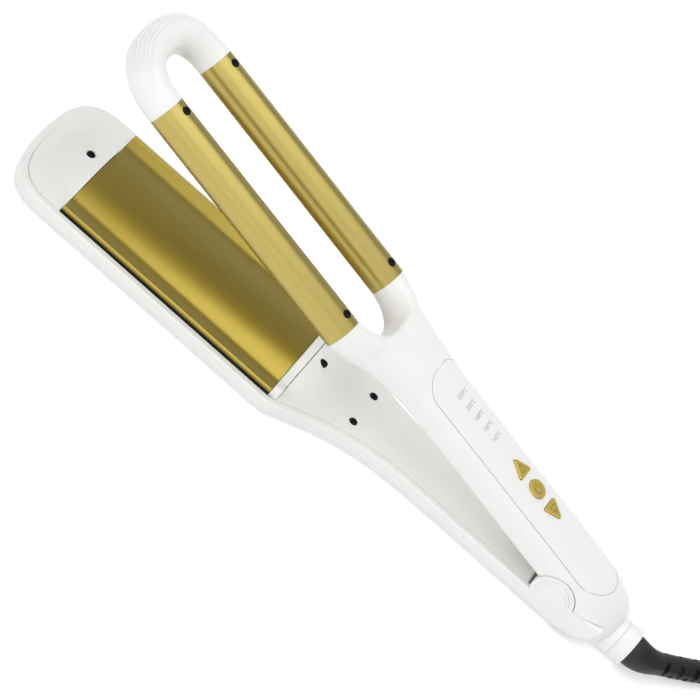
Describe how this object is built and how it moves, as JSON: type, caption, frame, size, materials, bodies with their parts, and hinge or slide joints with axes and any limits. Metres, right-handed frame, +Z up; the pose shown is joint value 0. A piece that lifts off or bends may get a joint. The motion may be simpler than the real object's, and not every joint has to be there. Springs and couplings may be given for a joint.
{
  "type": "hair waver",
  "caption": "Two-barrel hair waver, gold barrels and wavy heated plate, white hinged arms, three buttons, black mains cord.",
  "frame": {"origin": "on the rest plane, straight below the middle of the hinge axis", "axes": "+X along the plate arm from the tip to the cord end, +Y along the hinge axis towards the far side, +Z up from the rest plane"},
  "size_m": [0.5282, 0.121, 0.0965],
  "materials": {
    "shell_white": "gloss",
    "panel_white": "high gloss",
    "plate_gold": "satin gold coating",
    "button_gold": "satin",
    "frame_black": "matt",
    "screw_black": "black oxide",
    "steel": "plain",
    "heater_metal": "plain",
    "board_green": "solder mask",
    "led_clear": "clear",
    "part_yellow": "matt",
    "cord_black": "matt"
  },
  "bodies": {
    "plate_arm": {"lower_shell": "shell_white", "inner_cover": "shell_white", "tip_insert": "shell_white", "root_strip": "shell_white", "wave_plate": "plate_gold", "plate_frame": "frame_black", "plate_heater": "heater_metal", "heater_clamp": "steel", "thermal_fuse": "part_yellow", "cover_screws": "screw_black", "tip_screw": "screw_black", "hinge_pin": "steel", "hinge_cap_near": "shell_white", "hinge_cap_far": "shell_white", "hinge_washers": "steel"},
    "handle_arm": {"upper_shell": "shell_white", "under_cover": "shell_white", "under_cover_screws": "screw_black", "control_panel": "panel_white", "control_board": "board_green", "indicator_leds": "led_clear", "tact_switches": "frame_black", "mains_capacitor": "part_yellow", "barrel_near": "plate_gold", "barrel_far": "plate_gold", "barrel_sleeves": "frame_black", "barrel_heaters": "heater_metal", "barrel_screws": "screw_black", "tip_cap": "shell_white", "hinge_spring": "steel", "tail_collar": "shell_white"},
    "up_button": {"button_up": "button_gold"},
    "power_button": {"button_power": "button_gold"},
    "down_button": {"button_down": "button_gold"},
    "cord_end": {"swivel_bush": "cord_black", "strain_relief": "cord_black", "cord_lead": "cord_black", "cord_coil": "cord_black", "cord_tail": "cord_black", "cord_tie": "cord_black", "plug": "cord_black", "plug_pins": "steel"}
  },
  "joints": [
    {"name": "jaw_hinge", "type": "hinge", "parent": "plate_arm", "child": "handle_arm", "pos_m": [0, 0, 0.016], "axis": [0, 1, 0], "range_deg": [-13, 0], "stiffness_Nm_per_rad": 1, "springref_deg": 40.11},
    {"name": "press_up", "type": "slide", "parent": "handle_arm", "child": "up_button", "axis": [-0.225, 0, -0.9744], "range_m": [0, 0.0006], "stiffness_N_per_m": 600, "springref_m": -0.0005},
    {"name": "press_power", "type": "slide", "parent": "handle_arm", "child": "power_button", "axis": [-0.225, 0, -0.9744], "range_m": [0, 0.0006], "stiffness_N_per_m": 600, "springref_m": -0.0005},
    {"name": "press_down", "type": "slide", "parent": "handle_arm", "child": "down_button", "axis": [-0.225, 0, -0.9744], "range_m": [0, 0.0006], "stiffness_N_per_m": 600, "springref_m": -0.0005},
    {"name": "cord_swivel", "type": "hinge", "parent": "handle_arm", "child": "cord_end", "pos_m": [0.0427, 0, 0.00975], "axis": [1, 0, 0], "continuous": true}
  ]
}
